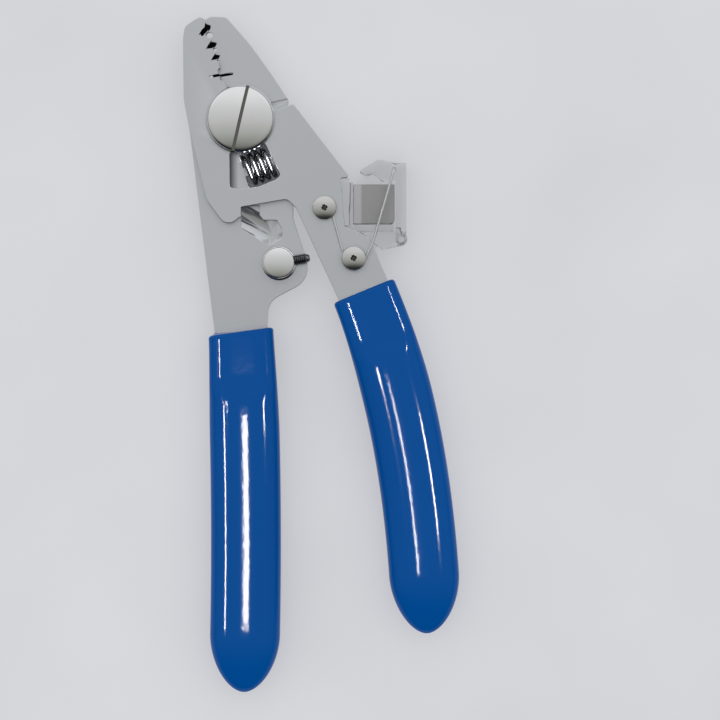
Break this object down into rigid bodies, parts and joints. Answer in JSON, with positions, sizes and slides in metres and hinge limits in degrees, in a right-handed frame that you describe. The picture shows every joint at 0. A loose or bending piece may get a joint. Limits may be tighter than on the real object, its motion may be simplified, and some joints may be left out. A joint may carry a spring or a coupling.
{
  "type": "fibre stripper",
  "caption": "Hand stripper for optical fibre: two stacked steel levers with stripping notches, a slotted pivot, sprung jaws, dipped grips and a clear wiper box.",
  "frame": {"origin": "on the pivot axis, at the flat outer face of the rear pivot disc, which is the plane the tool lies on", "axes": "+Z along the pivot axis towards the slotted head on the front face, +Y along the tool towards the jaw tips, +X towards the wiper box"},
  "size_m": [0.0691, 0.1692, 0.0118],
  "materials": {
    "lever_steel": "fine satin",
    "nickel": "polished nickel",
    "spring_steel": "bright drawn wire",
    "dark_steel": "black oxide",
    "grip_vinyl": "gloss dipped vinyl",
    "clear_plastic": "clear moulded plastic",
    "felt": "grey wool felt"
  },
  "bodies": {
    "rear_half": {"rear_lever": "lever_steel", "pivot_post": "nickel", "pivot_washer": "nickel", "pivot_screw": "nickel", "jaw_spring": "spring_steel", "stop_post": "nickel", "stop_post_ring": "nickel", "stop_screw": "dark_steel", "rear_grip": "grip_vinyl"},
    "front_half": {"front_lever": "lever_steel", "front_grip": "grip_vinyl", "wiper_base": "clear_plastic", "wiper_pad": "felt", "upper_screw": "nickel", "lower_screw": "nickel", "upper_nut": "nickel", "lower_nut": "nickel", "upper_washer": "nickel", "spring_bush": "nickel", "wiper_spring": "spring_steel", "flap_hinge_pin": "clear_plastic"},
    "flap": {"wiper_flap": "clear_plastic"}
  },
  "joints": [
    {"name": "jaw_pivot", "type": "hinge", "parent": "rear_half", "child": "front_half", "pos_m": [0, 0, 0.0055], "axis": [0, 0, 1], "range_deg": [-2.8, 14], "stiffness_Nm_per_rad": 2, "springref_deg": 17.19, "deforming": ["jaw_spring"]},
    {"name": "flap_hinge", "type": "hinge", "parent": "front_half", "child": "flap", "pos_m": [0.04015, -0.03, 0.0044], "axis": [0, 0, -1], "range_deg": [0, 35], "stiffness_Nm_per_rad": 0.01, "springref_deg": -34.38, "deforming": ["wiper_spring"]}
  ]
}
